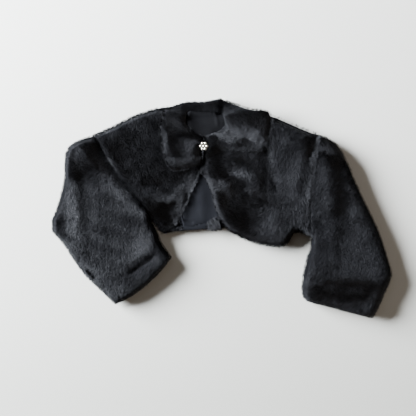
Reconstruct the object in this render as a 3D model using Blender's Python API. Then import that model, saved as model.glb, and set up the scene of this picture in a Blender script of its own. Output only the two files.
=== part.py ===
"""Fur bolero laid flat, front side up.

Left and right are the wearer's. Tables are in millimetres on the plan of the
garment: x across, y from hem to neck, z up from the surface it lies on.
"""
import math

import bmesh
import bpy
import numpy as np
from mathutils import Matrix

MM = 0.001

# Layers, from the surface upwards
BACK_PILE = 9.0        # back panel with its fur
SEAM_GAP = 0.3         # between pieces that are sewn or lie on each other
LINING_WALL = 1.0      # satin
FRONT_PILE = 12.0      # front panel with its fur
RIM = 3.0              # upright part of a panel's edge
EDGE_ROUND = 13.0      # how far in from an edge the pile bends down
RIM_LIFT = 1.3         # the back's edge rises by this to meet the fronts

# Sleeves are flattened tubes
SLEEVE_TOP = 23.0      # height of the upper layer's fur
SLEEVE_FOLD = 9.5      # height of the side folds
SLEEVE_WALL = 11.0     # fur and cloth at a side fold
SLEEVE_SLIT = 1.6      # space between the two layers
CUFF_ROUND = 11.0
CUFF_EDGE = 0.45       # share of the wall left at the cuff's edge
SEAM_ROUND = 12.0
SEAM_EDGE = 0.55       # share of the wall left in the armhole seam
SEAM_WIDTH = 0.8

# Button
BUTTON_X = -34.0
BUTTON_Y = 122.0
BUTTON_LOBES = 6
LOBE_REACH = 5.9       # centre of the button to the centre of an outer stone
LOBE_RADIUS = 3.3
PLATE_WALL = 1.2
STONE_RADIUS = 2.75
STONE_TABLE = 1.6
STONE_HEIGHT = 2.0
SHANK_RADIUS = 1.3
SHANK_LENGTH = 4.0
DENT_DEPTH = 3.5       # the pile is pressed down round the button
DENT_RADIUS = 10.0

LINING_BASE = BACK_PILE + SEAM_GAP
FRONT_BASE = LINING_BASE + LINING_WALL + SEAM_GAP
LEAF_BASE = FRONT_BASE + FRONT_PILE + 0.8
BAND_BASE = FRONT_BASE + 0.3

# Each row of a panel is one section: its upper end, its lower end, and how
# far the middle bows to the picture's right.
BACK_ROWS = [
    # top x, top y, hem x, hem y, bow
    (-253, 144, -143, -14, -6),
    (-226, 156, -121, -47, -4),
    (-162, 186, -94, -47, 0),
    (-112, 202, -62, -45, 0),
    (-72, 204, -38, -43, 0),
    (-32, 205, -18, -42, 0),
    (2, 210, 6, -40, 0),
    (38, 201, 38, -40, 0),
    (82, 188, 82, -41, 0),
    (128, 172, 128, -42, 0),
    (168, 155, 162, -45, -3),
    (197, 144, 182, -54, -6),
]

FRONT_RIGHT_ROWS = [
    # top x, top y, hem x, hem y, bow
    (-253, 144, -143, -14, -6),
    (-226, 156, -123, -45, -4),
    (-162, 186, -104, -43, 0),
    (-112, 196, -89, -30, 0),
    (-76, 160, -75, -4, 0),
    (-58, 138, -63, 28, 0),
    (-35.5, 122, -41, 72, 0),
]

FRONT_LEFT_ROWS = [
    # top x, top y, hem x, hem y, bow
    (-32.5, 122, -36, 72, 0),
    (-14, 138, -20, 40, 0),
    (4, 160, -7, -8, 0),
    (42, 196, 14, -41, 0),
    (74, 190, 52, -63, 0),
    (102, 183, 94, -73, 0),
    (138, 168, 130, -71, 0),
    (170, 154, 147, -46, -3),
    (197, 144, 182, -54, -6),
]

LINING_ROWS = [
    # top x, top y, hem x, hem y, bow
    (-92, 172, -96, -31, 0),
    (-62, 190, -60, -33, 0),
    (-34, 191, -38, -31, 0),
    (-8, 190, -14, -15, 0),
    (22, 172, 14, -12, 0),
]

TURN_UP_ROWS = [
    # top x, top y, hem x, hem y, bow
    (-80, -36, -81, -45, 0),
    (-52, -35, -52, -44, 0),
    (-28, -27, -28, -42, 0),
    (-12, -17, -9, -41, 0),
    (-5, -19, 0, -40, 0),
]

# Collar sections run from the neck edge to the edge of the fall; base is the
# height they lie at and pile their thickness.
COLLAR_RIGHT_ROWS = [
    # neck x, neck y, fall x, fall y, bow, base, pile
    (-36, 140, -41, 90, 0, LEAF_BASE, 10),
    (-46, 144, -72, 79, 0, LEAF_BASE, 11),
    (-56, 150, -97, 77, 0, LEAF_BASE, 11),
    (-66, 160, -112, 108, 0, LEAF_BASE, 11),
    (-71, 173, -120, 158, 0, LEAF_BASE, 11),
    (-68, 182, -110, 190, 0, LEAF_BASE, 11),
    (-58, 187, -78, 206, 0, BAND_BASE, 14),
    (-30, 188, -32, 209, 0, BAND_BASE, 14),
    (-4, 188, 1, 215, 0, BAND_BASE, 14),
]

COLLAR_LEFT_ROWS = [
    # neck x, neck y, fall x, fall y, bow, base, pile
    (-3, 188, 2, 215, 0, BAND_BASE, 14),
    (1, 188, 29, 206, 0, BAND_BASE, 14),
    (7, 181, 62, 194, 0, LEAF_BASE, 11),
    (9, 172, 95, 190, 0, LEAF_BASE, 11),
    (5, 160, 93, 142, 0, LEAF_BASE, 11),
    (-7, 150, 79, 111, 0, LEAF_BASE, 11),
    (-20, 144, 30, 117, 0, LEAF_BASE, 11),
    (-32, 140, -28, 100, 0, LEAF_BASE, 10),
]

# Sleeve sections run from the outer fold to the inner fold.
SLEEVE_RIGHT_ROWS = [
    # outer x, outer y, inner x, inner y, bow
    (-253, 144, -144, -13, -6),
    (-284, 134, -144, -18, -4),
    (-303, 121, -142, -23, 0),
    (-311, 60, -138, -31, 0),
    (-328, -6, -131, -42, 0),
    (-338, -38, -126, -52, 0),
    (-314, -70, -124, -60, 0),
    (-268, -136, -119, -72, -4),
    (-230, -171, -109, -86, -8),
    (-212, -190, -101, -96, -10),
]

SLEEVE_LEFT_ROWS = [
    # outer x, outer y, inner x, inner y, bow
    (197, 144, 182, -54, -6),
    (216, 137, 183.5, -58, -4),
    (234, 123, 184, -62, -2),
    (250, 92, 183, -67, 0),
    (274, 36, 181, -76, 0),
    (309, -36, 176, -92, 0),
    (333, -108, 165, -136, 0),
    (340, -134, 163, -160, 0),
    (327, -168, 164, -173, 0),
    (304, -217, 171, -183, 0),
]

# The largest folds of the upper layers: a line, how far it rises or sinks,
# and half its width.
FOLDS = [
    # piece, from x, from y, to x, to y, rise, half width
    ("front_right", -246, 138, -194, 54, 3.0, 8),
    ("front_right", -140, 26, -84, 24, 3.5, 13),
    ("front_right", -190, 110, -110, 70, -2.5, 22),
    ("front_left", 22, 90, 72, 44, 4.0, 14),
    ("front_left", -10, 62, 18, 40, 2.5, 10),
    ("front_left", 92, 110, 104, 46, -3.5, 10),
    ("front_left", 82, 32, 128, -54, 3.0, 14),
    ("front_left", 20, 10, 70, -34, -2.5, 18),
    ("front_left", 168, 120, 148, 40, 3.0, 12),
    ("sleeve_right", -296, 50, -290, -70, 3.0, 16),
    ("sleeve_right", -272, 60, -262, -90, -2.5, 12),
    ("sleeve_right", -188, -130, -138, -94, -4.0, 8),
    ("sleeve_right", -278, -106, -246, -138, -3.5, 9),
    ("sleeve_right", -276, 110, -248, 88, 2.5, 8),
    ("sleeve_left", 214, 90, 220, -100, 3.0, 16),
    ("sleeve_left", 244, 70, 252, -30, -2.5, 14),
    ("sleeve_left", 176, -148, 316, -162, -3.0, 11),
    ("back_lining", -38, 46, -36, -20, 3.0, 6),
]

DENTS = [
    # piece, x, y, depth, radius
    ("collar_right", BUTTON_X, BUTTON_Y, DENT_DEPTH, DENT_RADIUS),
    ("collar_left", BUTTON_X, BUTTON_Y, DENT_DEPTH, DENT_RADIUS),
]


def smooth_step(t):
    t = np.clip(t, 0.0, 1.0)
    return t * t * (3.0 - 2.0 * t)


def round_over(distance, radius):
    t = 1.0 - np.clip(distance / radius, 0.0, 1.0)
    return np.sqrt(1.0 - t * t)


def spaced(count, crowd):
    """Positions from 0 to 1, closer together near both ends."""
    t = np.linspace(0.0, 1.0, count)
    return (1.0 - crowd) * t + crowd * smooth_step(t)


def curve_through(rows, positions):
    """Rows joined by a smooth curve and read off at the given positions."""
    rows = np.array(rows, dtype=float)
    middle = 0.5 * (rows[:, 0:2] + rows[:, 2:4])
    travel = np.linalg.norm(np.diff(rows[:, 0:2], axis=0), axis=1)
    travel = travel + np.linalg.norm(np.diff(rows[:, 2:4], axis=0), axis=1)
    travel = travel + np.linalg.norm(np.diff(middle, axis=0), axis=1)
    knots = np.concatenate(([0.0], np.cumsum(travel)))
    slope = np.diff(rows, axis=0) / travel[:, None]
    tangent = np.empty_like(rows)
    tangent[0] = slope[0]
    tangent[-1] = slope[-1]
    for i in range(1, len(rows) - 1):
        before, after = travel[i - 1], travel[i]
        tangent[i] = (slope[i - 1] * after + slope[i] * before) / (before + after)
    tangent[:, 4:] = 0.0  # bows and heights ease from row to row without overshoot
    result = []
    for position in positions * knots[-1]:
        i = min(int(np.searchsorted(knots, position, side="right")) - 1, len(travel) - 1)
        width = travel[i]
        t = (position - knots[i]) / width
        result.append((2 * t**3 - 3 * t**2 + 1) * rows[i]
                      + (t**3 - 2 * t**2 + t) * width * tangent[i]
                      + (3 * t**2 - 2 * t**3) * rows[i + 1]
                      + (t**3 - t**2) * width * tangent[i + 1])
    return np.array(result)


def plan_of(sections, across):
    """Plan points of every section, bowed in the middle."""
    start = sections[:, None, 0:2]
    end = sections[:, None, 2:4]
    v = across[None, :, None]
    line = end - start
    length = np.linalg.norm(line, axis=2, keepdims=True)
    right = np.concatenate((-line[:, :, 1:2], line[:, :, 0:1]), axis=2) / length
    bow = sections[:, None, 4:5] * 4.0 * v * (1.0 - v)
    return start + line * v + right * bow


def distance_to_line(points, ax, ay, bx, by):
    a = np.array((ax, ay), dtype=float)
    b = np.array((bx, by), dtype=float)
    line = b - a
    t = np.clip(((points - a) @ line) / max(line @ line, 1e-9), 0.0, 1.0)
    return np.linalg.norm(points - a - t[..., None] * line, axis=-1)


def distance_to_edge(plan):
    """Distance of every plan point from the outline of its own panel."""
    outline = np.concatenate((plan[0], plan[1:, -1], plan[-1, -2::-1], plan[-2:0:-1, 0]))
    nearest = np.full(plan.shape[:2], 1e9)
    for a, b in zip(outline, np.roll(outline, -1, axis=0)):
        nearest = np.minimum(nearest, distance_to_line(plan, a[0], a[1], b[0], b[1]))
    return nearest


def fold_height(name, points):
    height = np.zeros(points.shape[:-1])
    for piece, ax, ay, bx, by, rise, half_width in FOLDS:
        if piece == name:
            distance = distance_to_line(points, ax, ay, bx, by)
            height = height + rise * np.exp(-(distance / half_width) ** 2)
    for piece, x, y, depth, radius in DENTS:
        if piece == name:
            distance = np.linalg.norm(points - np.array((x, y)), axis=-1)
            height = height - depth * (1.0 - smooth_step((distance - radius) / radius))
    return height


def with_height(plan, height):
    return np.concatenate((plan, height[..., None]), axis=-1)


def material(name, colour, roughness, metallic=0.0):
    made = bpy.data.materials.new(name)
    made.use_nodes = True
    shader = made.node_tree.nodes["Principled BSDF"]
    shader.inputs["Base Color"].default_value = (*colour, 1.0)
    shader.inputs["Roughness"].default_value = roughness
    shader.inputs["Metallic"].default_value = metallic
    return made


def finish(name, mesh_builder, colour, roughness, metallic=0.0):
    """Turn a bmesh into a named object that hangs from the garment's root."""
    bmesh.ops.recalc_face_normals(mesh_builder, faces=mesh_builder.faces)
    mesh = bpy.data.meshes.new(name)
    mesh_builder.to_mesh(mesh)
    mesh_builder.free()
    piece = bpy.data.objects.new(name, mesh)
    bpy.context.collection.objects.link(piece)
    mesh.materials.append(material(name, colour, roughness, metallic))
    piece.parent = garment
    return piece


def loft(rings):
    """Skin a row of closed rings; the bmesh and its rings of verts come back."""
    builder = bmesh.new()
    loops = [[builder.verts.new(point * MM) for point in ring] for ring in rings]
    for near, far in zip(loops, loops[1:]):
        for i in range(len(near)):
            j = (i + 1) % len(near)
            builder.faces.new((near[i], near[j], far[j], far[i]))
    return builder, loops


def panel(name, upper, lower, colour, roughness):
    """A sheet between two grids of points, closed by a rim all round."""
    rings = [np.concatenate((top, bottom[::-1])) for top, bottom in zip(upper, lower)]
    builder, loops = loft(rings)
    count = upper.shape[1]
    for loop in (loops[0], loops[-1]):
        for i in range(count - 1):
            builder.faces.new((loop[i], loop[i + 1], loop[-2 - i], loop[-1 - i]))
    return finish(name, builder, colour, roughness)


def fur_panel(name, rows, base, pile, along, across, colour, crowd=0.55):
    """Fur lying on a level base, its pile bending down at every edge."""
    sections = curve_through(rows, spaced(along, 0.35))
    plan = plan_of(sections, spaced(across, crowd))
    edge = distance_to_edge(plan)
    inside = smooth_step(edge / EDGE_ROUND)
    folds = fold_height(name, plan) * inside
    if base is None:
        base = np.repeat(sections[:, 5:6], across, axis=1)
        pile = np.repeat(sections[:, 6:7], across, axis=1)
    lower = base + np.maximum(folds, 0.0) * 0.8
    upper = base + RIM + (pile - RIM) * round_over(edge, EDGE_ROUND) + folds
    return panel(name, with_height(plan, upper), with_height(plan, lower), colour, 0.9)


def back_panel(name, rows, along, across, colour):
    """Fur side down: flat underneath, bending up to the seams at the edges."""
    plan = plan_of(curve_through(rows, spaced(along, 0.2)), spaced(across, 0.55))
    edge = distance_to_edge(plan)
    upper = BACK_PILE + RIM_LIFT * (1.0 - smooth_step(edge / 10.0))
    lower = (BACK_PILE - RIM) * (1.0 - round_over(edge, EDGE_ROUND))
    return panel(name, with_height(plan, upper), with_height(plan, lower), colour, 0.9)


def lining_panel(name, rows, along, across, colour):
    plan = plan_of(curve_through(rows, spaced(along, 0.2)), spaced(across, 0.3))
    folds = fold_height(name, plan) * smooth_step(distance_to_edge(plan) / 8.0)
    lower = LINING_BASE + folds
    return panel(name, with_height(plan, lower + LINING_WALL), with_height(plan, lower), colour, 0.4)


def sleeve(name, rows, seam_side, along, across, colour):
    """A flattened tube, open at the armhole and at the cuff."""
    sections = curve_through(rows, spaced(along, 0.55))
    sections[:, [0, 2]] += seam_side * SEAM_WIDTH
    v = spaced(across, 0.6)
    width = np.linalg.norm(sections[:, 2:4] - sections[:, 0:2], axis=1)[:, None]
    outer_plan = plan_of(sections, v)
    inset = SLEEVE_WALL / width
    inner_v = inset + v[None, :] * (1.0 - 2.0 * inset)
    inner_plan = np.stack([plan_of(sections[i:i + 1], inner_v[i])[0] for i in range(along)])

    edge = np.minimum(v, 1.0 - v)[None, :] * width
    bulge = round_over(edge, EDGE_ROUND)
    folds = fold_height(name, outer_plan) * smooth_step(edge / EDGE_ROUND)
    upper = SLEEVE_FOLD + (SLEEVE_TOP - SLEEVE_FOLD) * bulge + folds
    lower = SLEEVE_FOLD * (1.0 - bulge)
    slit = 0.5 * SLEEVE_SLIT * round_over(edge, EDGE_ROUND)
    inner_upper = SLEEVE_FOLD + slit + np.maximum(folds, 0.0) * 0.8
    inner_lower = SLEEVE_FOLD - slit

    step = np.linalg.norm(np.diff(outer_plan.mean(axis=1), axis=0), axis=1)
    from_seam = np.concatenate(([0.0], np.cumsum(step)))
    seam = SEAM_EDGE + (1.0 - SEAM_EDGE) * round_over(from_seam, SEAM_ROUND)
    cuff = CUFF_EDGE + (1.0 - CUFF_EDGE) * round_over(from_seam[-1] - from_seam, CUFF_ROUND)
    wall = (seam * cuff)[:, None]

    inner_top = with_height(inner_plan, inner_upper)
    inner_bottom = with_height(inner_plan, inner_lower)
    outer_top = with_height(outer_plan, inner_upper + (upper - inner_upper) * wall)
    outer_bottom = with_height(outer_plan, inner_lower + (lower - inner_lower) * wall)
    outside = [np.concatenate((t, b[-2:0:-1])) for t, b in zip(outer_top, outer_bottom)]
    inside = [np.concatenate((t, b[-2:0:-1])) for t, b in zip(inner_top, inner_bottom)]

    builder, loops = loft(outside)
    hollow = [[builder.verts.new(point * MM) for point in ring] for ring in inside]
    count = len(hollow[0])
    for near, far in zip(hollow, hollow[1:]):
        for i in range(count):
            j = (i + 1) % count
            builder.faces.new((near[j], near[i], far[i], far[j]))
    for ring, hole in ((loops[0], hollow[0]), (loops[-1], hollow[-1])):
        for i in range(count):
            j = (i + 1) % count
            builder.faces.new((ring[i], ring[j], hole[j], hole[i]))
    return finish(name, builder, colour, 0.9)


def button(base):
    """A lobed plate on a shank, with a faceted stone on every lobe and one in the middle."""
    builder = bmesh.new()
    outline = []
    for i in range(BUTTON_LOBES * 8):
        angle = 2.0 * math.pi * i / (BUTTON_LOBES * 8)
        off = (angle + math.pi / BUTTON_LOBES) % (2.0 * math.pi / BUTTON_LOBES) - math.pi / BUTTON_LOBES
        side = LOBE_REACH * math.sin(off)
        reach = LOBE_REACH * math.cos(off) + math.sqrt(max(LOBE_RADIUS**2 - side**2, 0.3))
        outline.append(builder.verts.new((reach * math.cos(angle) * MM, reach * math.sin(angle) * MM, 0.0)))
    face = builder.faces.new(outline)
    shank = bmesh.ops.create_circle(builder, cap_ends=False, segments=12, radius=SHANK_RADIUS * MM)["verts"]
    ring = list({edge for vert in shank for edge in vert.link_edges})
    rim = list(face.edges)
    builder.faces.remove(face)
    bmesh.ops.bridge_loops(builder, edges=ring + rim)
    post = bmesh.ops.extrude_edge_only(builder, edges=ring)["geom"]
    post_verts = [item for item in post if isinstance(item, bmesh.types.BMVert)]
    bmesh.ops.translate(builder, verts=post_verts, vec=(0.0, 0.0, -SHANK_LENGTH * MM))
    post_edges = [item for item in post if isinstance(item, bmesh.types.BMEdge)]
    post_rim = [edge for edge in post_edges if all(vert in post_verts for vert in edge.verts)]
    bmesh.ops.contextual_create(builder, geom=post_rim)
    wall = bmesh.ops.extrude_edge_only(builder, edges=rim)["geom"]
    wall_verts = [item for item in wall if isinstance(item, bmesh.types.BMVert)]
    bmesh.ops.translate(builder, verts=wall_verts, vec=(0.0, 0.0, PLATE_WALL * MM))
    wall_edges = [item for item in wall if isinstance(item, bmesh.types.BMEdge)]
    wall_rim = [edge for edge in wall_edges if all(vert in wall_verts for vert in edge.verts)]
    bmesh.ops.contextual_create(builder, geom=wall_rim)
    plate = finish("button_setting", builder, (0.72, 0.72, 0.70), 0.25, 1.0)
    plate.location = (BUTTON_X * MM, BUTTON_Y * MM, base * MM)

    for i in range(BUTTON_LOBES + 1):
        gem = bmesh.new()
        lift = PLATE_WALL + SEAM_GAP + 0.5 * STONE_HEIGHT
        bmesh.ops.create_cone(gem, cap_ends=True, segments=8, radius1=STONE_RADIUS * MM,
                              radius2=STONE_TABLE * MM, depth=STONE_HEIGHT * MM,
                              matrix=Matrix.Rotation(math.pi / 8, 4, "Z"))
        stone = finish("button_stone_%d" % i, gem, (0.86, 0.85, 0.80), 0.05)
        angle = 2.0 * math.pi * i / BUTTON_LOBES
        reach = LOBE_REACH if i < BUTTON_LOBES else 0.0
        stone.location = ((BUTTON_X + reach * math.cos(angle)) * MM,
                          (BUTTON_Y + reach * math.sin(angle)) * MM, (base + lift) * MM)


for old in list(bpy.data.objects):
    bpy.data.objects.remove(old)

garment = bpy.data.objects.new("bolero", None)
bpy.context.collection.objects.link(garment)

FUR = (0.013, 0.013, 0.017)
SATIN = (0.045, 0.048, 0.060)

back_panel("back", BACK_ROWS, 24, 13, FUR)
lining_panel("back_lining", LINING_ROWS, 11, 13, SATIN)
fur_panel("hem_turn_up", TURN_UP_ROWS, FRONT_BASE, 6.0, 12, 5, FUR)
fur_panel("front_right", FRONT_RIGHT_ROWS, FRONT_BASE, FRONT_PILE, 22, 15, FUR)
fur_panel("front_left", FRONT_LEFT_ROWS, FRONT_BASE, FRONT_PILE, 26, 15, FUR)
fur_panel("collar_right", COLLAR_RIGHT_ROWS, None, None, 24, 8, FUR, 0.7)
fur_panel("collar_left", COLLAR_LEFT_ROWS, None, None, 24, 8, FUR, 0.7)
sleeve("sleeve_right", SLEEVE_RIGHT_ROWS, -1, 24, 12, FUR)
sleeve("sleeve_left", SLEEVE_LEFT_ROWS, 1, 24, 12, FUR)
button(LEAF_BASE + 10.0 - DENT_DEPTH + 1.5)

# The root stands under the middle of the garment's outline.
bpy.context.view_layer.update()
corners = [piece.matrix_world @ vert.co for piece in garment.children for vert in piece.data.vertices]
garment.location = (-0.5 * (min(c.x for c in corners) + max(c.x for c in corners)),
                    -0.5 * (min(c.y for c in corners) + max(c.y for c in corners)),
                    -min(c.z for c in corners))
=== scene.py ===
import math

import bmesh
import bpy
import numpy as np
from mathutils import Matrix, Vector
from mathutils.bvhtree import BVHTree
from mathutils.kdtree import KDTree


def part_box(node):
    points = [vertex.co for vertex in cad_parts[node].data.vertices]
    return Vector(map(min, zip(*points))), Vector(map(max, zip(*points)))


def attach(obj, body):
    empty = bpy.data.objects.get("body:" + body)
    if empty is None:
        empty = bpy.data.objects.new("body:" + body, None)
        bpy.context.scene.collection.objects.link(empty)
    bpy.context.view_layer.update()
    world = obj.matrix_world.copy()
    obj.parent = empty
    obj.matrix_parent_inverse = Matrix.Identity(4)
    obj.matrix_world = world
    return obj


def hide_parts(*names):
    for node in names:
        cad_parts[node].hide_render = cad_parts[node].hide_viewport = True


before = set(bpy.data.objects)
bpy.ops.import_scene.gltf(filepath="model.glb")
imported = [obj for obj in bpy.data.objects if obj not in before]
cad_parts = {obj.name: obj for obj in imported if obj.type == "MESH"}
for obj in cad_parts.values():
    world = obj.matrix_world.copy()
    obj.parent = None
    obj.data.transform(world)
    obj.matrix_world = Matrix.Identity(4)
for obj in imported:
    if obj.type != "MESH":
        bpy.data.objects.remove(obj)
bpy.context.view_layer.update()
mm = 0.001
furMap = "OFBake"  # map of a hair: across, its tone with painted sheen and shade; root to tip upwards


class Value:
    # a socket that can be used in sums
    def __init__(self, tree, socket):
        self.tree = tree
        self.socket = socket

    def join(self, operation, first, second):
        made = self.tree.nodes.new("ShaderNodeMath")
        made.operation = operation
        for slot, item in zip(made.inputs, (first, second)):
            if isinstance(item, Value):
                self.tree.links.new(item.socket, slot)
            else:
                slot.default_value = item
        return Value(self.tree, made.outputs[0])

    def __add__(self, other):
        return self.join("ADD", self, other)

    def __radd__(self, other):
        return self.join("ADD", other, self)

    def __sub__(self, other):
        return self.join("SUBTRACT", self, other)

    def __rsub__(self, other):
        return self.join("SUBTRACT", other, self)

    def __mul__(self, other):
        return self.join("MULTIPLY", self, other)

    def __rmul__(self, other):
        return self.join("MULTIPLY", other, self)


class Finish:
    # a material whose shader sockets take numbers, colours or Values
    def __init__(self, name):
        self.material = bpy.data.materials.new(name)
        self.material.use_nodes = True
        self.tree = self.material.node_tree
        self.shader = self.tree.nodes["Principled BSDF"]

    def put(self, slot, item):
        if isinstance(item, Value):
            self.tree.links.new(item.socket, slot)
        elif slot.type == "RGBA":
            slot.default_value = (*item, 1.0)
        else:
            slot.default_value = item

    def node(self, kind, settings, sockets, output=0):
        made = self.tree.nodes.new(kind)
        for key, item in settings.items():
            setattr(made, key, item)
        for key, item in sockets.items():
            self.put(made.inputs[key], item)
        return Value(self.tree, made.outputs[output])

    def shade(self, sockets):
        for key, item in sockets.items():
            self.put(self.shader.inputs[key], item)


# Finishes

furColours = {
    "deep": (0.0030, 0.0031, 0.0040),
    "tip": (0.0258, 0.0266, 0.0306),
    "toneShare": 0.65,  # what a hair's tone, with its painted sheen and shade, counts beside its run from root to tip
    "dull": 0.95,       # roughness at the root
    "sheen": 0.43,      # how much smoother from its middle on
    "specular": 0.05,
    "gloss": (0.86, 0.92, 1.0),
}


def furFinish():
    fur = Finish("blackFur")
    place = fur.node("ShaderNodeUVMap", {"uv_map": furMap}, {})
    toneAndPaintedLight = fur.node("ShaderNodeSeparateXYZ", {}, {"Vector": place}, 0)
    along = fur.node("ShaderNodeSeparateXYZ", {}, {"Vector": place}, 1)
    mix = toneAndPaintedLight * furColours["toneShare"] + along * (1 - furColours["toneShare"])
    colour = fur.node("ShaderNodeMix", {"data_type": "RGBA"},
                      {0: mix, 6: furColours["deep"], 7: furColours["tip"]}, 2)
    smoother = along.join("MINIMUM", 2 * along, 1.0)
    fur.shade({
        "Base Color": colour,
        "Roughness": furColours["dull"] - furColours["sheen"] * smoother,
        "Specular IOR Level": furColours["specular"],
        "Specular Tint": furColours["gloss"],
    })
    return fur.material


underfurColours = {
    "dark": (0.0020, 0.0020, 0.0025),
    "light": (0.0048, 0.0049, 0.0058),
    "roughness": 0.9,
    "tufts": 420.0,     # of them in a metre
    "tuftDepth": 0.002,
}


def underfurFinish():
    cloth = Finish("underfur")
    where = cloth.node("ShaderNodeTexCoord", {}, {}, 3)
    tufts = cloth.node("ShaderNodeTexNoise", {},
                       {"Vector": where, "Scale": underfurColours["tufts"], "Detail": 4.0})
    colour = cloth.node("ShaderNodeMix", {"data_type": "RGBA"},
                        {0: tufts, 6: underfurColours["dark"], 7: underfurColours["light"]}, 2)
    bump = cloth.node("ShaderNodeBump", {},
                      {"Height": tufts, "Strength": 0.8, "Distance": underfurColours["tuftDepth"]})
    cloth.shade({
        "Base Color": colour,
        "Roughness": underfurColours["roughness"],
        "Normal": bump,
        "Specular IOR Level": 0.0,
    })
    return cloth.material


satinColours = {"dark": (0.0055, 0.0058, 0.0075), "light": (0.0085, 0.0092, 0.0120), "roughness": 0.65}
# painted shade: the neck facing and the slit below the button take the satin painted darker
shadedFacingColours = {"dark": (0.0033, 0.0033, 0.0040), "light": (0.0052, 0.0053, 0.0064), "roughness": 0.75}
satinWeave = {
    "clouds": 60.0,    # soft clouds and threads, in a metre
    "threads": 900.0,
    "depth": 0.001,
    "specular": 0.04,
    "gloss": (0.86, 0.92, 1.0),
}


def satinFinish(name, colours):
    satin = Finish(name)
    where = satin.node("ShaderNodeTexCoord", {}, {}, 3)
    cloud = satin.node("ShaderNodeTexNoise", {},
                       {"Vector": where, "Scale": satinWeave["clouds"], "Detail": 3.0})
    weave = satin.node("ShaderNodeTexWave", {"bands_direction": "DIAGONAL"},
                       {"Vector": where, "Scale": satinWeave["threads"], "Distortion": 1.5, "Detail": 1.0}, 1)
    colour = satin.node("ShaderNodeMix", {"data_type": "RGBA"},
                        {0: cloud, 6: colours["dark"], 7: colours["light"]}, 2)
    bump = satin.node("ShaderNodeBump", {}, {
        "Height": cloud * 0.8 + weave * 0.2,
        "Strength": 0.25,
        "Distance": satinWeave["depth"],
    })
    satin.shade({
        "Base Color": colour,
        "Roughness": colours["roughness"] + 0.15 * cloud,
        "Normal": bump,
        "Specular IOR Level": satinWeave["specular"],
        "Specular Tint": satinWeave["gloss"],
    })
    return satin.material


furMaterial = furFinish()
underfurMaterial = underfurFinish()
satinMaterial = satinFinish("satin", satinColours)
shadedFacingMaterial = satinFinish("neckFacingPaintedShade", shadedFacingColours)
print("finishes made")


# Cloth under the fur

def treeOf(node):
    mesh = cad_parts[node].data
    places = [vert.co for vert in mesh.vertices]
    return BVHTree.FromPolygons(places, [list(face.vertices) for face in mesh.polygons])


def addPiece(name, mesh, materials):
    piece = bpy.data.objects.new(name, mesh)
    bpy.context.collection.objects.link(piece)
    for material in materials:
        mesh.materials.append(material)
    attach(piece, "root")
    return piece


clothWall = {
    "facet": 7 * mm,       # edges longer than this are cut, in so many rounds
    "rounds": 4,
    "inset": 0.2 * mm,     # how far a free edge draws in
    "leastWall": 0.2,      # share of a rim's height that stays
    "seamReach": 5 * mm,   # an edge this near the piece it is sewn to laps it
    "seamLap": 0.8 * mm,
    "fillReach": 18 * mm,  # how far from a seam the fur fills the dip
    "fillSpan": 24 * mm,   # and how far around it looks for the level
    "fillUp": 0.2,         # only where the surface faces up this much
    "leafFrom": 12 * mm,   # a leaf's underside is above this
    "leafRise": 8 * mm,    # and sinks by all its sink this much higher
    "underside": -0.4,     # a face turned further down than this
    "topSide": 0.05,       # a point turned further up than this
    "creaseFade": 1.5,     # creases fade where the surface is steep
    "stepOut": 0.3 * mm,   # where the look out from a face starts
    "stepIn": 1.5 * mm,    # and the look down through a wall
    "stepDown": 0.05 * mm,
    "deepest": 60 * mm,
    "plainWall": 3 * mm,   # where no underside is found
}


def creaseHeight(place, creases):
    # each crease: x and y of its two ends, half width and height in millimetres, a trough's below zero
    total = 0.0
    for x1, y1, x2, y2, wide, height in creases:
        dx, dy = x2 - x1, y2 - y1
        px, py = place.x / mm - x1, place.y / mm - y1
        along = (px * dx + py * dy) / (dx * dx + dy * dy)
        held = min(max(along, 0.0), 1.0)
        away = math.hypot(px - held * dx, py - held * dy) / wide
        total += height * math.exp(-away * away)
    return total * mm


def sunkBy(base, look):
    # a leaf lying on another piece sinks into its fur
    share = min(max((base - clothWall["leafFrom"]) / clothWall["leafRise"], 0.0), 1.0)
    return Vector((0.0, 0.0, look.get("sink", 0.0) * share))


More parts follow.
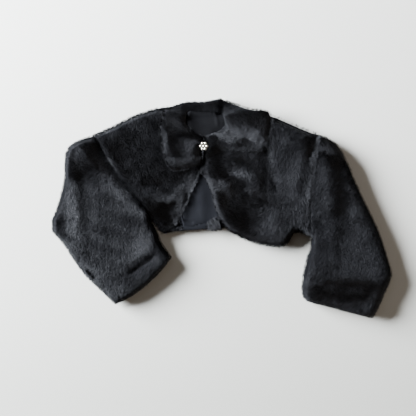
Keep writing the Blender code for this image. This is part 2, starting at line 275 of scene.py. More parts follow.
def clothSkin(node, look):
    build = bmesh.new()
    build.from_mesh(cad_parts[node].data)
    bmesh.ops.remove_doubles(build, verts=build.verts, dist=1e-6)
    for _ in range(clothWall["rounds"]):
        longEdges = [edge for edge in build.edges if edge.calc_length() > clothWall["facet"]]
        bmesh.ops.subdivide_edges(build, edges=longEdges, cuts=1)
        bmesh.ops.triangulate(build, faces=build.faces)
    build.normal_update()
    build.faces.ensure_lookup_table()
    solid = BVHTree.FromBMesh(build)
    neighbours = [treeOf(other) for other in look["sewnTo"]]
    heights = KDTree(len(build.verts))
    for i, vert in enumerate(build.verts):
        heights.insert((vert.co.x, vert.co.y, 0.0), i)
    heights.balance()
    levels = [vert.co.z for vert in build.verts]
    outer = set()
    for face in build.faces:
        start = face.calc_center_median() + face.normal * clothWall["stepOut"]
        upper = face.normal.z > clothWall["underside"]
        if upper and solid.ray_cast(start, face.normal, look["clear"])[0] is None:
            outer.add(face)
    moved = {}
    for vert in build.verts:
        base = vert.co.z
        if not any(face in outer for face in vert.link_faces):
            moved[vert] = vert.co - sunkBy(base, look)
            continue
        normal = vert.normal
        level = Vector((normal.x, normal.y, 0.0))
        gap = min((tree.find_nearest(vert.co)[3] for tree in neighbours), default=1.0)
        target = vert.co.copy()
        if gap > clothWall["seamReach"]:
            target -= level * clothWall["inset"]
        else:
            target += level * clothWall["seamLap"]
        if normal.z > clothWall["topSide"]:
            inside = vert.co - level * clothWall["stepIn"] - Vector((0.0, 0.0, clothWall["stepDown"]))
            below = solid.ray_cast(inside, Vector((0.0, 0.0, -1.0)), clothWall["deepest"])[3]
            height = below if below is not None else clothWall["plainWall"]
            base -= height
            slim = height * min(height / look["full"], 1.0) ** look["slim"]
            wall = slim * clothWall["leastWall"]
            if base < clothWall["leafFrom"]:
                wall = min(look.get("wall", wall), height)
            most = height - wall
            crease = creaseHeight(vert.co, look["creases"]) * min(normal.z * clothWall["creaseFade"], 1.0)
            target.z -= min(height - slim + look["pile"] - crease, most)
        if normal.z > clothWall["fillUp"] and gap < clothWall["fillReach"]:
            around = heights.find_range((vert.co.x, vert.co.y, 0.0), clothWall["fillSpan"])
            rise = max(levels[found[1]] for found in around) - look["pile"] - target.z
            target.z += max(rise, 0.0) * look["seamFill"] * (1 - gap / clothWall["fillReach"])
        moved[vert] = target - sunkBy(base, look)
    for vert, target in moved.items():
        vert.co = target
    furFrom = look.get("furFrom", -1.0)
    for face in build.faces:
        furred = face.calc_center_median().x > furFrom
        shows = face in outer or face.normal.z < clothWall["underside"]
        face.material_index = 0 if furred and shows else 1
        face.smooth = True
    mesh = bpy.data.meshes.new(node + "_cloth")
    build.to_mesh(mesh)
    outerIndex = np.array(sorted(face.index for face in outer), dtype=int)
    build.free()
    skin = addPiece(node + "_cloth", mesh, [underfurMaterial, satinMaterial])
    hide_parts(node)
    return skin, outerIndex


# Fur

def softNoise(points, scale, seed):
    # a smooth wobble between about -1 and 1
    waves = np.random.default_rng(seed)
    total = np.zeros(len(points))
    for _ in range(5):
        direction = waves.normal(size=3)
        direction = direction / np.linalg.norm(direction)
        phase = points @ direction * (2 * math.pi / scale) * waves.uniform(0.6, 1.7)
        total += np.sin(phase + waves.uniform(0, 6.3))
    return total / 2.6


def unit(vectors):
    return vectors / np.maximum(np.linalg.norm(vectors, axis=1, keepdims=True), 1e-9)


patchEdge = {
    "waves": [(0.04, 5, 5.0), (0.011, 7, 2.2)],  # length in metres, seed, how far in millimetres
    "mix": 3.0,                                  # borders mix hair by hair, millimetres
}


def napAt(points, look):
    # direction on the plan, how flat the hair lies, and its tone, partly painted sheen and shade
    angle = np.full(len(points), float(look["angle"]))
    lay = np.full(len(points), look["lay"])
    toneAndPaintedLight = np.full(len(points), look["toneAndPaintedLight"])
    drift = np.zeros((len(points), 2))
    for scale, seed, far in patchEdge["waves"]:
        drift += np.stack((softNoise(points, scale, seed), softNoise(points, scale, seed + 1)), axis=1) * far
    drift += np.random.default_rng(len(points)).normal(0.0, patchEdge["mix"], drift.shape)
    for x, y, long, wide, turn, patchAngle, patchLay, patchToneAndPaintedLight in look["patches"]:
        cosTurn, sinTurn = math.cos(math.radians(turn)), math.sin(math.radians(turn))
        offset = points[:, 0:2] / mm + drift - np.array((x, y))
        u = (offset[:, 0] * cosTurn + offset[:, 1] * sinTurn) / long
        v = (offset[:, 1] * cosTurn - offset[:, 0] * sinTurn) / wide
        weight = np.exp(-(u * u + v * v))
        angle += weight * ((patchAngle - angle + 180) % 360 - 180)
        lay += weight * (patchLay - lay)
        toneAndPaintedLight += weight * (patchToneAndPaintedLight - toneAndPaintedLight)
    turned = np.radians(angle)
    return np.stack((np.cos(turned), np.sin(turned)), axis=1), lay, toneAndPaintedLight


furCut = {
    "firstSeed": 40,
    "seedStep": 10,
    "length": 6.2 * mm,
    "lengths": (0.75, 1.1),    # spread of the hairs' lengths and widths, as shares
    "width": 0.24 * mm,        # half a hair's width where it is widest
    "widths": (0.75, 1.25),
    "guard": 0.03,             # share of longer hairs, and how much longer
    "guardLength": 1.5,
    "rootLift": (18, 50),      # degrees off the cloth when laid flat, and so many more when upright
    "tipLift": (4, 44),
    "droop": -0.12,            # how far the nap leans downhill
    "roll": 0.55,              # most turn about a hair's length, radians
    "stray": 6.0,              # degrees
    "hairTurn": 0.5,           # share of it for each hair, and for each lock
    "lockTurn": 0.7,
    "hairLay": 0.06,
    "lockLay": 0.018,
    "hairTone": 0.06,
    "lockTone": 0.03,
    "sideTone": 0.015,         # from one side of a hair to the other
    "lockLengths": (0.92, 1.07),
    "lock": 40,                # hairs in a lock
    "fewLocks": 8,             # least locks of a piece, and locks that a hair chooses from
    "stretch": 4.5,            # a lock's length over its width
    "pull": 0.12,              # how far a hair's tip is drawn to its lock
    "pulls": (0.4, 1.0),
    "middlePull": 0.35,
    "wobble": 13.0,            # degrees, in waves this long
    "wobbleWave": 0.045,
    "fineWobble": 0.35,
    "fineWave": 0.016,
    "rim": 0.55,               # a surface steeper than this is a rim
    "rimLeast": 0.05,
    "rimOut": 1.6,             # how strongly rim hair points outwards
    "rimLift": 0.35,
    # painted shade: free rims are painted darker by this share
    "rimPaintedShade": 0.2,
    "seam": 9 * mm,            # no rim this near a sewn edge
    "paintedShadeSide": (-0.9, 0.44),  # painted shade: hair on slopes facing this way, towards the key lamp, is painted darker
    "paintedShadeFrom": 0.38,
    "paintedShadeOver": 0.35,
    "paintedShadeRoot": 0.9,           # how far hair in painted shade takes its root's colour
    "steep": 0.75,             # hairs on a steep face, as a share of a level one's
    "thinOver": 12 * mm,       # where fur starts part way, it thins out over this
    "covered": 0.12,           # share of the hairs that stays under another piece
    "coverFrom": 3 * mm,       # how far over the cloth such a piece may begin and end
    "coverTo": 60 * mm,
    "lowest": 0.25 * mm,       # no hair goes nearer the floor
    "places": (0.01, 0.5, 0.5, 0.99),  # a blade's four points from root to tip
}


def pickPoints(count, corners, normals, weight, dice):
    chosen = dice.choice(len(corners), size=count, p=weight / weight.sum())
    a, b = dice.random(count), dice.random(count)
    flip = a + b > 1
    a[flip], b[flip] = 1 - a[flip], 1 - b[flip]
    parts = np.stack((1 - a - b, a, b), axis=1)[:, :, None]
    points = (corners[chosen] * parts).sum(axis=1)
    return points, unit((normals[chosen] * parts).sum(axis=1))


def rimShare(points, normals, look):
    # how far a place belongs to a free rim: a sewn edge is none
    rim = np.clip(1 - normals[:, 2] / furCut["rim"], 0.0, 1.0)
    for other in look["sewnTo"]:
        tree = treeOf(other)
        for i in np.flatnonzero(rim > furCut["rimLeast"]):
            if tree.find_nearest(Vector(points[i]), furCut["seam"])[0] is not None:
                rim[i] = 0.0
    return rim


def hairShape(points, normals, plan, lay, stray, length, rim):
    plan = unit(plan * (1 - rim)[:, None] + normals[:, 0:2] * (furCut["rimOut"] * rim)[:, None])
    lay = lay - furCut["rimLift"] * rim
    lean = np.concatenate((plan, np.full((len(plan), 1), furCut["droop"])), axis=1)
    along = unit(lean - normals * (lean * normals).sum(axis=1, keepdims=True))
    side = np.cross(normals, along)
    turn = np.radians(stray)[:, None]
    along = along * np.cos(turn) + side * np.sin(turn)
    flat, upright = furCut["rootLift"]
    rootLift = np.radians(flat + upright * (1 - lay))[:, None]
    flat, upright = furCut["tipLift"]
    tipLift = np.radians(flat + upright * (1 - lay))[:, None]
    middle = points + length[:, None] * 0.5 * (normals * np.sin(rootLift) + along * np.cos(rootLift))
    tip = middle + length[:, None] * 0.5 * (normals * np.sin(tipLift) + along * np.cos(tipLift))
    return middle, tip, along


def growFur(node, skin, outerIndex, look, seed):
    dice = np.random.default_rng(seed)
    mesh = skin.data
    places = np.empty(len(mesh.vertices) * 3)
    mesh.vertices.foreach_get("co", places)
    directions = np.empty(len(mesh.vertices) * 3)
    mesh.vertices.foreach_get("normal", directions)
    faces = np.empty(len(mesh.polygons) * 3, dtype=np.int32)
    mesh.polygons.foreach_get("vertices", faces)
    faces = faces.reshape(-1, 3)[outerIndex]
    corners = places.reshape(-1, 3)[faces]
    normals = directions.reshape(-1, 3)[faces]
    cross = np.cross(corners[:, 1] - corners[:, 0], corners[:, 2] - corners[:, 0])
    area = np.linalg.norm(cross, axis=1)
    facing = np.clip(cross[:, 2] / np.maximum(area, 1e-12), 0.0, 1.0)
    weight = area * (furCut["steep"] + (1 - furCut["steep"]) * facing)
    points, normals = pickPoints(look["hairs"], corners, normals, weight, dice)

    # most hairs under another piece are left out
    keep = points[:, 0] > look.get("furFrom", -1.0) + dice.uniform(0.0, furCut["thinOver"], len(points))
    for cover in look["under"]:
        tree = treeOf(cover)
        for i, point in enumerate(points):
            start = Vector(point) + Vector((0.0, 0.0, furCut["coverFrom"]))
            if keep[i] and tree.ray_cast(start, Vector((0.0, 0.0, 1.0)), furCut["coverTo"])[0] is not None:
                keep[i] = dice.random() < furCut["covered"]
    points, normals = points[keep], normals[keep]
    count = len(points)

    # locks, long along their own nap: every hair leans towards one of them
    plan, lay, toneAndPaintedLight = napAt(points, look)
    lockCount = max(count // furCut["lock"], furCut["fewLocks"])
    lockIndex = dice.choice(count, size=lockCount, replace=False)
    lockTree = KDTree(lockCount)
    for i, index in enumerate(lockIndex):
        lockTree.insert(points[index], i)
    lockTree.balance()
    near = np.array([[found[1] for found in lockTree.find_n(point, furCut["fewLocks"])] for point in points])
    offset = points[:, None, 0:2] - points[lockIndex][near][:, :, 0:2]
    flow = plan[lockIndex][near]
    down = (offset * flow).sum(axis=2) / furCut["stretch"]
    across = offset[:, :, 0] * flow[:, :, 1] - offset[:, :, 1] * flow[:, :, 0]
    nearest = near[np.arange(count), np.argmin(down * down + across * across, axis=1)]
    wobble = furCut["wobble"] * softNoise(points, furCut["wobbleWave"], seed + 1)
    wobble += furCut["fineWobble"] * furCut["wobble"] * softNoise(points, furCut["fineWave"], seed + 2)
    lockTurn = dice.normal(0.0, furCut["lockTurn"] * furCut["stray"], lockCount)
    lockLay = dice.normal(0.0, furCut["lockLay"], lockCount)
    lockTone = dice.normal(0.0, furCut["lockTone"], lockCount)
    lockLength = dice.uniform(*furCut["lockLengths"], lockCount)
    stray = wobble + lockTurn[nearest] + dice.normal(0.0, furCut["hairTurn"] * furCut["stray"], count)
    lay = np.clip(lay + lockLay[nearest] + dice.normal(0.0, furCut["hairLay"], count), 0.0, 1.0)
    length = furCut["length"] * look["cut"] * lockLength[nearest] * dice.uniform(*furCut["lengths"], count)
    length[dice.random(count) < furCut["guard"]] *= furCut["guardLength"]
    rim = rimShare(points, normals, look)
    middle, tip, along = hairShape(points, normals, plan, lay, stray, length, rim)
    lockTip = tip[lockIndex][nearest]
    lockMiddle = middle[lockIndex][nearest]
    tip = tip + (lockTip - tip) * furCut["pull"] * dice.uniform(*furCut["pulls"], count)[:, None]
    middle = middle + (lockMiddle - middle) * (furCut["middlePull"] * furCut["pull"])

    # a bent, pointed blade for each hair, turned a little about its length
    roll = dice.uniform(-furCut["roll"], furCut["roll"], count)[:, None]
    side = np.cross(normals, along) * np.cos(roll) + normals * np.sin(roll)
    half = furCut["width"] * dice.uniform(*furCut["widths"], count)[:, None]
    verts = np.stack((points, middle - side * half, middle + side * half, tip), axis=1)
    verts[:, :, 2] = np.maximum(verts[:, :, 2], furCut["lowest"])
    first = np.arange(count)[:, None, None] * 4
    triangles = (first + np.array(((0, 2, 1), (1, 2, 3)))).reshape(-1, 3)
    fur = bpy.data.meshes.new(node + "_fur")
    fur.from_pydata(verts.reshape(-1, 3), [], triangles)

    # painted shade: hair on slopes facing the key lamp and on free rims is painted darker, its colour drawn
    # towards the root's
    lean = normals[:, 0:2] @ np.array(furCut["paintedShadeSide"])
    dark = np.clip((lean - furCut["paintedShadeFrom"]) / furCut["paintedShadeOver"], 0.0, 1.0)
    dark = np.maximum(dark, furCut["rimPaintedShade"] * rim)
    shade = toneAndPaintedLight * (1 - dark) + lockTone[nearest] + dice.normal(0.0, furCut["hairTone"], count)
    shade = np.clip(shade, 0.02, 0.98)[:, None]
    across = np.concatenate((shade, shade - furCut["sideTone"], shade + furCut["sideTone"], shade), axis=1)
    upwards = np.array(furCut["places"]) * (1 - furCut["paintedShadeRoot"] * dark)[:, None]
    corner = np.array((0, 2, 1, 1, 2, 3))
    layer = fur.uv_layers.new(name=furMap)
    layer.uv.foreach_set("vector", np.stack((across[:, corner], upwards[:, corner]), axis=2).ravel())
    fur.polygons.foreach_set("use_smooth", np.ones(len(fur.polygons), dtype=bool))
    piece = addPiece(node + "_fur", fur, [furMaterial])
    print("fur on", node, count, "hairs")
    return piece


# Of each piece: how many hairs, the angle on the plan that they point to, how flat they lie,
# their tone, partly the fur's own and partly painted sheen and shade, and how long they are cut;
# the height that the wall keeps whole, how strongly it slims below that, and the depth of the pile;
# how far a leaf sinks and the wall that stays at a low rim; how far a face needs to look out clear;
# the share of the dip at a seam that is filled; and the x that fur starts from. Each patch of the nap
# is an ellipse on the plan in millimetres: x, y, half length, half width, turn, angle of the hair,
# how flat it lies, tone with painted sheen and shade
furLooks = {
    "back": {
        "hairs": 20000, "angle": -90, "lay": 0.5, "toneAndPaintedLight": 0.4, "cut": 0.9,
        "full": 9 * mm, "slim": 0, "pile": 2.6 * mm,
        "clear": 40 * mm, "seamFill": 0.0,
        "sewnTo": ["sleeve_left", "sleeve_right"],
        "under": ["front_left", "front_right", "collar_left", "collar_right", "back_lining"],
        "flat": (0.46, 0.26), "cutShare": 0.78, "restsOn": [],
        "creases": [(-104, -34, -84, -40, 9, 4.5)],
        "patches": [],
    },
    "hem_turn_up": {
        "hairs": 3400, "angle": -60, "lay": 0.42, "toneAndPaintedLight": 0.42, "cut": 1.3,
        "full": 6 * mm, "slim": 0, "pile": 4.6 * mm,
        "clear": 40 * mm, "seamFill": 0.0, "furFrom": -32 * mm,
        "sewnTo": ["back_lining"],
        "under": [],
        "flat": (0.08, 0.017), "cutShare": 0.8, "restsOn": ["back"],
        "creases": [],
        "patches": [],
    },
    "front_right": {
        "hairs": 72000, "angle": 112, "lay": 0.72, "toneAndPaintedLight": 0.22, "cut": 1.0,
        "full": 12 * mm, "slim": 1.0, "pile": 2.6 * mm, "wall": 1.0 * mm,
        "clear": 40 * mm, "seamFill": 0.5,
        "sewnTo": ["sleeve_right", "front_left"],
        "under": ["collar_right"],
        "flat": (0.21, 0.22), "cutShare": 0.72, "restsOn": ["back_lining", "back"],
        "creases": [
            (-256, 143, -198, 56, 7, 2.0),
            (-150, 42, -88, 45, 7, -2.0),
            (-84, 48, -126, -22, 42, -5.5),
            (-62, 62, -106, -26, 20, -3.0),
        ],
        "patches": [
            (-72, 18, 65, 12, 63, -60, 0.85, 0.8),
            (-112, 21, 27, 9, 5, -45, 0.55, 0.4),
            (-230, 102, 50, 6, -58, -70, 0.6, 0.4),
            (-94, -12, 24, 20, 0, -130, 0.6, 0.6),
        ],
    },
    "front_left": {
        "hairs": 90000, "angle": -90, "lay": 0.58, "toneAndPaintedLight": 0.52, "cut": 1.0,
        "full": 12 * mm, "slim": 0.8, "pile": 2.6 * mm,
        "clear": 40 * mm, "seamFill": 0.9,
        "sewnTo": ["sleeve_left", "front_right"],
        "under": ["collar_left"],
        "flat": (0.25, 0.28), "cutShare": 0.7, "restsOn": ["back_lining", "back"],
        "creases": [
            (-36, 116, -38, 92, 9, -3.0),
            (94, 106, 98, 48, 9, 1.9),
            (110, 137, 80, 33, 14, -1.0),
            (80, 33, 126, -53, 12, -1.5),
            (188, 110, 177, 20, 6, 2.6),
            (177, 20, 177, -40, 6, 2.6),
        ],
        "patches": [
            (16, 30, 100, 62, -75, 126, 0.74, 0.9),
            (46, 68, 26, 14, -45, -50, 0.55, 0.6),
            (0, 53, 17, 13, -20, -50, 0.55, 0.4),
            (188, 61, 50, 13, 60, -50, 0.6, 0.65),
            (200, 117, 45, 20, -15, 90, 0.72, 0.95),
            (126, 112, 48, 26, 90, -105, 0.6, 0.2),
            # painted shadow: the hair beside the slit below the button is painted darkest
            (-37, 107, 24, 10, 90, 132, 0.76, 0.0),
        ],
    },
    "collar_right": {
        "hairs": 43000, "angle": 130, "lay": 0.72, "toneAndPaintedLight": 0.95, "cut": 0.95,
        "full": 11 * mm, "slim": 1.0, "pile": 7.5 * mm, "sink": 3.2 * mm, "wall": 3.0 * mm,
        "clear": 6 * mm, "seamFill": 0.0,
        "sewnTo": ["collar_left"],
        "under": [],
        "flat": (0.19, 0.07), "cutShare": 0.72, "restsOn": ["front_right", "back"],
        "creases": [
            (-60, 165, -16, 168, 38, -4.0),
            (-40, 123, -32, 123, 30, 3.0),
            (-110, 196, -8, 208, 20, -6.0),
            (-76, 184, -72, 164, 13, -3.0),
        ],
        "patches": [
            (-62, 125, 24, 18, 0, -100, 0.55, 0.6),
            (-72, 97, 42, 12, 8, -75, 0.55, 0.55),
            (-114, 135, 36, 7, -80, -70, 0.55, 0.45),
        ],
    },
    "collar_left": {
        "hairs": 43000, "angle": 125, "lay": 0.72, "toneAndPaintedLight": 0.7, "cut": 0.95,
        "full": 11 * mm, "slim": 1.0, "pile": 7.5 * mm, "sink": 3.2 * mm, "wall": 3.0 * mm,
        "clear": 6 * mm, "seamFill": 0.0,
        "sewnTo": ["collar_right"],
        "under": [],
        "flat": (0.19, 0.07), "cutShare": 0.74, "restsOn": ["front_left", "back"],
        "creases": [
            (-60, 165, -16, 168, 38, -4.0),
            (-40, 123, -32, 123, 30, 3.0),
            (96, 200, 92, 120, 24, -2.0),
            (2, 216, 0, 188, 13, -2.0),
        ],
        "patches": [
            (28, 121, 55, 8, -5, -70, 0.5, 0.45),
            (8, 147, 30, 15, -20, -50, 0.5, 0.2),
            (66, 134, 26, 15, -55, -45, 0.5, 0.7),
            (40, 203, 44, 11, -10, -60, 0.5, 0.6),
        ],
    },
    "sleeve_right": {
        "hairs": 89000, "angle": -100, "lay": 0.62, "toneAndPaintedLight": 0.15, "cut": 1.0,
        "full": 15 * mm, "slim": -0.4, "pile": 2.6 * mm,
        "clear": 40 * mm, "seamFill": 0.5,
        "sewnTo": ["front_right", "back"],
        "under": [],
        "flat": (0.34, 0.31), "cutShare": 0.82, "restsOn": [],
        "creases": [
            (-244, 117, -190, 40, 9, -3.5),
            (-174, -123, -138, -98, 8, -4.0),
            (-284, -103, -254, -137, 6, -4.0),
            (-280, 113, -250, 87, 4, 2.0),
        ],
        "patches": [
            (-282, 100, 50, 38, 0, 108, 0.70, 1.0),
            (-226, 74, 44, 18, -60, -135, 0.65, 0.85),
            (-292, -15, 60, 13, -80, -45, 0.55, 0.75),
            (-324, -28, 20, 20, 0, 150, 0.7, 0.25),
            (-162, -79, 28, 20, 60, -40, 0.55, 0.7),
            (-194, 21, 50, 8, -40, -50, 0.55, 0.55),
            (-212, -158, 24, 16, -45, -80, 0.55, 0.3),
        ],
    },
    "sleeve_left": {
        "hairs": 88000, "angle": -105, "lay": 0.6, "toneAndPaintedLight": 0.4, "cut": 1.0,
        "full": 15 * mm, "slim": -0.4, "pile": 2.6 * mm,
        "clear": 40 * mm, "seamFill": 0.9,
        "sewnTo": ["front_left", "back"],
        "under": [],
        "flat": (0.33, 0.30), "cutShare": 0.82, "restsOn": [],
        "creases": [
            (192, 110, 181, 20, 8, -1.4),
            (181, 20, 181, -45, 8, -2.0),
        ],
        "patches": [
            (215, 112, 45, 20, -25, 76, 0.68, 0.95),
            (252, 37, 36, 50, 0, -150, 0.6, 0.85),
            (194, -62, 66, 24, 90, -120, 0.6, 0.1),
            (264, -92, 52, 36, -80, -85, 0.75, 0.45),
            (240, -163, 95, 22, 0, 132, 0.76, 1.0),
        ],
    },
}

for number, (node, look) in enumerate(furLooks.items()):
    skin, outerIndex = clothSkin(node, look)
    fur = growFur(node, skin, outerIndex, look, furCut["firstSeed"] + furCut["seedStep"] * number)
    surface = sum(face.area for face in skin.data.polygons) / 2
    print(node, "cloth", round(surface, 4), "m2")
    width, length = look["flat"]
    width * length * look["cutShare"]
print("fur grown")


# Lining

liningLook = {
    "flat": (0.14, 0.24),
    "cutShare": 0.76,
    "smoothing": 90,
    "edgeAngle": 0.8,       # sharper edges than this, in radians, aren't smoothed
    "shadedFacingFrom": 84 * mm,  # above this the satin is painted darker as shade: the neck facing and the slit below the button
    "facet": 9 * mm,
    "fineFacet": 3 * mm,
    "rounds": 6,
    "shown": [(-78, 132, 4, 196), (-110, -55, 14, 82)],  # where the openings show it
    "creases": [
        (-62, 164, -2, 164, 29, 8.0),      # the neck facing stands up
        (-50, 140, -24, 140, 14, 3.6),
        (-73, 180, -69, 160, 15, 3.2),
        (-66, 187, -16, 188, 5, 2.0),      # its top edge
        (-12, 189, -9, 168, 3.5, 0.7),
        (-64, 188, -71, 174, 3.5, 0.6),
        (-39, 130, -41, 84, 7, 2.0),       # under the meeting fronts
        (-41, 94, -48, 66, 7, 2.4),
        (-50, 56, -78, -14, 7, 1.4),       # up to the edge of the right front
        (-40, 40, -42, -8, 28, -0.5),      # ease of the back lining
        (-80, -17, 2, -15, 13, 1.5),       # it lies over the turn-up
        (-80, -22, -58, -28, 5, 0.9),      # a fold above the hem
        (-80, -14, -60, -20, 2.5, -1.2),
    ],
    "neck": (182, 10, 4),                  # above y: over how far and how far up
    "hem": (-78, 10, 0, 14, 8),            # from x to x, below y: over how far, how far down the back
}


def liningSheet():
    build = bmesh.new()
    build.from_mesh(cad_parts["back_lining"].data)
    bmesh.ops.remove_doubles(build, verts=build.verts, dist=1e-6)

    def longest(edge):
        middle = (edge.verts[0].co + edge.verts[1].co) / 2 / mm
        shown = any(x1 < middle.x < x2 and y1 < middle.y < y2 for x1, y1, x2, y2 in liningLook["shown"])
        return liningLook["fineFacet"] if shown else liningLook["facet"]

    for _ in range(liningLook["rounds"]):
        longEdges = [edge for edge in build.edges if edge.calc_length() > longest(edge)]
        bmesh.ops.subdivide_edges(build, edges=longEdges, cuts=1)
        bmesh.ops.triangulate(build, faces=build.faces)
    sharp = [edge for edge in build.edges if edge.calc_face_angle(0.0) > liningLook["edgeAngle"]]
    border = {vert for edge in sharp for vert in edge.verts}
    inner = [vert for vert in build.verts if vert not in border]
    for _ in range(liningLook["smoothing"]):
        bmesh.ops.smooth_vert(build, verts=inner, factor=0.5, use_axis_z=True)
    left, right, start, run, drop = (part * mm for part in liningLook["hem"])
    top, reach, rise = (part * mm for part in liningLook["neck"])
    for vert in build.verts:
        vert.co.z += creaseHeight(vert.co, liningLook["creases"])
        if left < vert.co.x < right and vert.co.y < start:
            vert.co.y -= drop * min((start - vert.co.y) / run, 1.0)  # over the turn-up
        if vert.co.y > top:
            vert.co.y += rise * min((vert.co.y - top) / reach, 1.0)  # and under the band
    for face in build.faces:
        face.smooth = True
        # painted shade: the satin above this line is the darker copy
        face.material_index = 1 if face.calc_center_median().y > liningLook["shadedFacingFrom"] else 0
    mesh = bpy.data.meshes.new("lining")
    build.to_mesh(mesh)
    build.free()
    piece = addPiece("lining", mesh, [satinMaterial, shadedFacingMaterial])
    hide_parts("back_lining")
    return piece


lining = liningSheet()
surface = sum(face.area for face in lining.data.polygons) / 2
print("lining", round(surface, 4), "m2")


# Button

buttonLook = {
    "stones": 7,
    "facets": 8,
    "table": 0.56,         # width of a stone's flat top, as a share of its width
    "crown": 0.62,         # height of the girdle, as a share of the stone's height
    "stoneDark": (0.13, 0.125, 0.105),
    "stoneLight": (0.52, 0.50, 0.43),
    "settingDark": (0.16, 0.15, 0.13),
    "settingLight": (0.38, 0.36, 0.32),
}


def stoneFinish():
    glass = Finish("clearStone")
    where = glass.node("ShaderNodeTexCoord", {}, {}, 3)
    # painted glints: spots of dark and light colour stand in for the facets' sparkle
    paintedGlints = glass.node("ShaderNodeTexNoise", {}, {"Vector": where, "Scale": 700.0, "Detail": 1.0})
    colour = glass.node("ShaderNodeMix", {"data_type": "RGBA"},
                        {0: paintedGlints, 6: buttonLook["stoneDark"], 7: buttonLook["stoneLight"]}, 2)
    glass.shade({"Base Color": colour, "Roughness": 0.14, "Metallic": 0.6})
    return glass.material


def settingFinish():
    metal = Finish("darkSetting")
    where = metal.node("ShaderNodeTexCoord", {}, {}, 3)
    wear = metal.node("ShaderNodeTexNoise", {}, {"Vector": where, "Scale": 900.0, "Detail": 2.0})
    colour = metal.node("ShaderNodeMix", {"data_type": "RGBA"},
                        {0: wear, 6: buttonLook["settingDark"], 7: buttonLook["settingLight"]}, 2)
    metal.shade({"Base Color": colour, "Roughness": 0.28 + 0.2 * wear, "Metallic": 1.0})
    return metal.material


stoneMaterial = stoneFinish()
settingMaterial = settingFinish()


def cutStone(node):
    low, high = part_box(node)
    centre = (low + high) / 2
    radius = (high.x - low.x) / 2
    girdle = low.z + (high.z - low.z) * buttonLook["crown"]
    build = bmesh.new()
    ring = bmesh.ops.create_circle(build, cap_ends=True, segments=buttonLook["facets"], radius=radius)
    base = ring["verts"][0].link_faces[0]
    bmesh.ops.translate(build, verts=ring["verts"], vec=(centre.x, centre.y, low.z))
    wall = bmesh.ops.extrude_face_region(build, geom=[base])
    upper = [item for item in wall["geom"] if isinstance(item, bmesh.types.BMVert)]
    bmesh.ops.translate(build, verts=upper, vec=(0.0, 0.0, girdle - low.z))
    cap = [item for item in wall["geom"] if isinstance(item, bmesh.types.BMFace)]
    top = bmesh.ops.extrude_face_region(build, geom=cap)
    table = [item for item in top["geom"] if isinstance(item, bmesh.types.BMVert)]
    bmesh.ops.translate(build, verts=table, vec=(0.0, 0.0, high.z - girdle))
    for vert in table:
        vert.co.x = centre.x + (vert.co.x - centre.x) * buttonLook["table"]
        vert.co.y = centre.y + (vert.co.y - centre.y) * buttonLook["table"]
    bmesh.ops.delete(build, geom=cap, context="FACES_ONLY")
    bmesh.ops.recalc_face_normals(build, faces=build.faces)
    mesh = bpy.data.meshes.new(node + "_cut")
    build.to_mesh(mesh)
    build.free()
    stone = addPiece(node + "_cut", mesh, [stoneMaterial])
    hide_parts(node)


for number in range(buttonLook["stones"]):
    cutStone("button_stone_" + str(number))
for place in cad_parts["button_setting"].material_slots:
    place.material = settingMaterial
print("button set")


# Floor, light and camera

studio = {
    "floorSize": 12.0,
    "floor": (0.83, 0.845, 0.825),
    # painted shade: the floor's colour towards the bottom of the picture
    "floorPaintedShade": (0.52, 0.535, 0.515),
    "paintedFalloff": (0.5, 1.2, 0.06),  # painted shade, as the light's fall-off: from the one to the other towards the bottom of the picture: at the middle, in a metre, by clouds
    "keyPlace": (-2.80, 1.00, 0.86),
    "keySize": (2.4, 1.2),
    "keyPower": 1520.0,
    "keyColour": (0.97, 0.99, 1.0),
    "fillPlace": (2.6, -1.3, 0.32),
    "fillSize": (2.2, 0.6),
    "fillPower": 80.0,
    "fillColour": (1.0, 0.86, 0.72),
    "windowPlace": (-0.7, 1.5, 1.7),
    "windowSize": (1.4, 1.4),
    "windowPower": 2.5,
    "windowColour": (0.97, 0.99, 1.0),
    "sky": (1.0, 0.77, 0.60),
    "skyPower": 0.06,
    "lens": 70.0,
    "sensor": 36.0,
    "centre": (-0.028, 0.001),
    "span": 0.8327,          # width of the picture at the height of the sleeves' folds
    "foldHeight": 9.5 * mm,
}


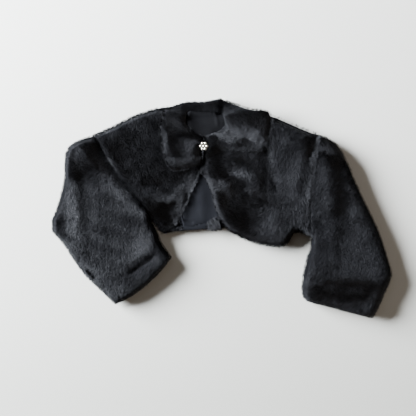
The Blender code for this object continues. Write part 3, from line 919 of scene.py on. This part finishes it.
def floorFinish():
    paper = Finish("paleFloor")
    where = paper.node("ShaderNodeTexCoord", {}, {}, 3)
    cloud = paper.node("ShaderNodeTexNoise", {}, {"Vector": where, "Scale": 2.0, "Detail": 2.0})
    across = paper.node("ShaderNodeSeparateXYZ", {}, {"Vector": where}, 1)
    middle, rate, clouds = studio["paintedFalloff"]
    # painted shade: the floor darkens towards the bottom of the picture, with soft clouds
    paintedFalloff = middle - rate * across + clouds * cloud
    colour = paper.node("ShaderNodeMix", {"data_type": "RGBA"},
                        {0: paintedFalloff, 6: studio["floor"], 7: studio["floorPaintedShade"]}, 2)
    paper.shade({"Base Color": colour, "Roughness": 0.9, "Specular IOR Level": 0.1})
    return paper.material


def layFloor():
    build = bmesh.new()
    bmesh.ops.create_grid(build, x_segments=1, y_segments=1, size=studio["floorSize"])
    mesh = bpy.data.meshes.new("floor")
    build.to_mesh(mesh)
    build.free()
    floor = bpy.data.objects.new("floor", mesh)
    bpy.context.collection.objects.link(floor)
    mesh.materials.append(floorFinish())


def setLights():
    for name in ("key", "fill", "window"):
        lamp = bpy.data.lights.new(name, "AREA")
        lamp.shape = "ELLIPSE"
        lamp.size, lamp.size_y = studio[name + "Size"]
        lamp.energy = studio[name + "Power"]
        lamp.color = studio[name + "Colour"]
        light = bpy.data.objects.new(name, lamp)
        light.location = studio[name + "Place"]
        light.rotation_euler = (-light.location).to_track_quat("-Z", "Y").to_euler()
        bpy.context.collection.objects.link(light)
    world = bpy.data.worlds.new("sky")
    world.use_nodes = True
    sky = world.node_tree.nodes["Background"]
    sky.inputs["Color"].default_value = (*studio["sky"], 1.0)
    sky.inputs["Strength"].default_value = studio["skyPower"]
    bpy.context.scene.world = world


def setCamera():
    view = bpy.data.cameras.new("camera")
    view.lens = studio["lens"]
    view.sensor_width = studio["sensor"]
    camera = bpy.data.objects.new("camera", view)
    distance = studio["span"] * studio["lens"] / view.sensor_width
    camera.location = (*studio["centre"], studio["foldHeight"] + distance)
    bpy.context.collection.objects.link(camera)
    bpy.context.scene.camera = camera


layFloor()
setLights()
setCamera()
print("studio set")
